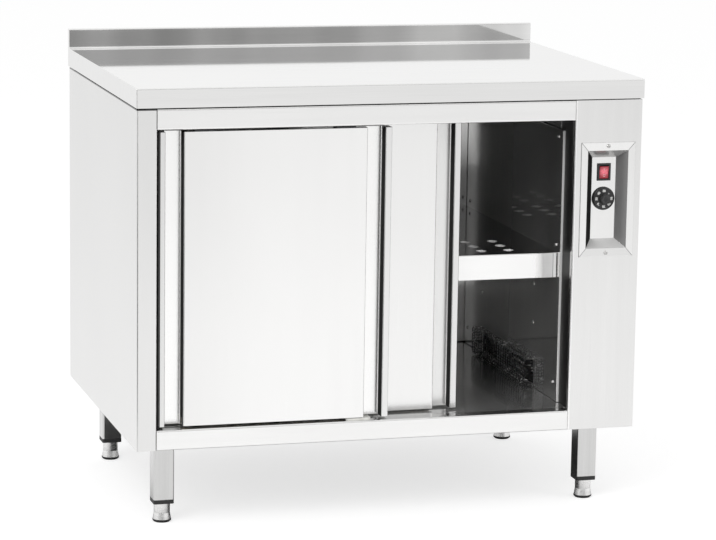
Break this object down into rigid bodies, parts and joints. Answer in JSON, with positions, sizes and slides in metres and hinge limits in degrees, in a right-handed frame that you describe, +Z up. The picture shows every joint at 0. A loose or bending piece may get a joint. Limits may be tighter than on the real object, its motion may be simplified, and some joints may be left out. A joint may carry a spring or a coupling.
{
  "type": "plate warmer cabinet",
  "caption": "Stainless plate warmer with a worktop and upstand, hanging sliding doors, a heated oven with a shelf, and a recessed switch and thermostat.",
  "frame": {"origin": "on the floor, below the middle of the worktop", "axes": "+X to the right along the front, +Y to the back, +Z up; the doors are at the front (-Y)"},
  "size_m": [1, 0.7, 0.89],
  "materials": {
    "stainless_satin": "satin brushed stainless steel",
    "stainless_bright": "bright rolled stainless steel",
    "steel_zinc": "zinc plated steel",
    "aluminium_track": "extruded aluminium",
    "motor_iron": "dark laminated iron",
    "insulation": "mineral fibre board",
    "nylon": "natural nylon",
    "plastic_black": "fine grained black plastic",
    "knob_black": "satin black phenolic",
    "rocker_red": "clear red lens",
    "rubber_black": "black rubber",
    "wire_black": "black coated wire mesh",
    "foot_metal": "pressed stainless steel on a black pad",
    "brass": "turned brass"
  },
  "bodies": {
    "cabinet": {"worktop": "stainless_satin", "worktop_stiffeners": "steel_zinc", "left_side_panel": "stainless_satin", "right_side_panel": "stainless_satin", "rear_panel": "stainless_satin", "top_rail": "stainless_satin", "bottom_rail": "stainless_satin", "control_column": "stainless_satin", "base_pan": "steel_zinc", "liner_floor": "stainless_bright", "liner_left": "stainless_bright", "liner_back": "stainless_bright", "liner_ceiling": "stainless_bright", "partition_wall": "stainless_bright", "duct_panel": "stainless_bright", "duct_panel_screws": "steel_zinc", "insulation_left": "insulation", "insulation_base": "insulation", "door_track": "aluminium_track", "track_stops": "rubber_black", "door_guide": "nylon", "shelf": "stainless_satin", "shelf_pegs": "stainless_bright", "mesh_guard": "wire_black", "blower_housing": "steel_zinc", "fan_motor": "motor_iron", "heating_element": "stainless_bright", "control_pocket": "stainless_satin", "pocket_screws": "steel_zinc", "switch_housing": "plastic_black", "thermostat_body": "steel_zinc", "terminal_block": "nylon", "cable_gland": "plastic_black", "leg_caps": "plastic_black", "leg_front_left": "stainless_satin", "leg_front_right": "stainless_satin", "leg_rear_left": "stainless_satin", "leg_rear_right": "stainless_satin"},
    "front_door": {"front_door_skin": "stainless_satin", "front_door_inner_panel": "stainless_bright", "front_door_core": "insulation", "front_door_hangers": "steel_zinc"},
    "front_door_roller_left": {"front_door_roller_left": "nylon"},
    "front_door_roller_right": {"front_door_roller_right": "nylon"},
    "rear_door": {"rear_door_skin": "stainless_satin", "rear_door_inner_panel": "stainless_bright", "rear_door_core": "insulation", "rear_door_hangers": "steel_zinc"},
    "rear_door_roller_left": {"rear_door_roller_left": "nylon"},
    "rear_door_roller_right": {"rear_door_roller_right": "nylon"},
    "switch_rocker": {"switch_rocker": "rocker_red"},
    "thermostat_knob": {"thermostat_knob": "knob_black", "thermostat_shaft": "brass"},
    "fan": {"fan_wheel": "steel_zinc", "fan_shaft": "steel_zinc"},
    "foot_front_left": {"foot_front_left": "foot_metal"},
    "foot_front_right": {"foot_front_right": "foot_metal"},
    "foot_rear_left": {"foot_rear_left": "foot_metal"},
    "foot_rear_right": {"foot_rear_right": "foot_metal"}
  },
  "joints": [
    {"name": "front_door_slide", "type": "slide", "parent": "cabinet", "child": "front_door", "axis": [1, 0, 0], "range_m": [-0.0035, 0.362]},
    {"name": "front_door_roller_left_spin", "type": "hinge", "parent": "front_door", "child": "front_door_roller_left", "pos_m": [-0.365, -0.328, 0.7886], "axis": [0, 1, 0], "continuous": true},
    {"name": "front_door_roller_right_spin", "type": "hinge", "parent": "front_door", "child": "front_door_roller_right", "pos_m": [-0.092, -0.328, 0.7886], "axis": [0, 1, 0], "continuous": true},
    {"name": "rear_door_slide", "type": "slide", "parent": "cabinet", "child": "rear_door", "axis": [1, 0, 0], "range_m": [-0.1553, 0.2102]},
    {"name": "rear_door_roller_left_spin", "type": "hinge", "parent": "rear_door", "child": "rear_door_roller_left", "pos_m": [-0.2132, -0.284, 0.7886], "axis": [0, 1, 0], "continuous": true},
    {"name": "rear_door_roller_right_spin", "type": "hinge", "parent": "rear_door", "child": "rear_door_roller_right", "pos_m": [0.0598, -0.284, 0.7886], "axis": [0, 1, 0], "continuous": true},
    {"name": "switch_rocker_tilt", "type": "hinge", "parent": "cabinet", "child": "switch_rocker", "pos_m": [0.43, -0.3215, 0.667], "axis": [1, 0, 0], "range_deg": [-16, 0]},
    {"name": "thermostat_knob_turn", "type": "hinge", "parent": "cabinet", "child": "thermostat_knob", "pos_m": [0.43, -0.3235, 0.615], "axis": [0, 1, 0], "range_deg": [0, 270]},
    {"name": "fan_spin", "type": "hinge", "parent": "cabinet", "child": "fan", "pos_m": [0.425, 0, 0.24], "axis": [0, 1, 0], "continuous": true},
    {"name": "foot_front_left_height", "type": "slide", "parent": "cabinet", "child": "foot_front_left", "axis": [0, 0, -1], "range_m": [0, 0.03]},
    {"name": "foot_front_right_height", "type": "slide", "parent": "cabinet", "child": "foot_front_right", "axis": [0, 0, -1], "range_m": [0, 0.03]},
    {"name": "foot_rear_left_height", "type": "slide", "parent": "cabinet", "child": "foot_rear_left", "axis": [0, 0, -1], "range_m": [0, 0.03]},
    {"name": "foot_rear_right_height", "type": "slide", "parent": "cabinet", "child": "foot_rear_right", "axis": [0, 0, -1], "range_m": [0, 0.03]}
  ],
  "couplings": [
    {"joint": "front_door_roller_left_spin", "follows": "front_door_slide", "rad_per_m": 107.53},
    {"joint": "front_door_roller_right_spin", "follows": "front_door_slide", "rad_per_m": 107.53},
    {"joint": "rear_door_roller_left_spin", "follows": "rear_door_slide", "rad_per_m": 107.53},
    {"joint": "rear_door_roller_right_spin", "follows": "rear_door_slide", "rad_per_m": 107.53}
  ]
}
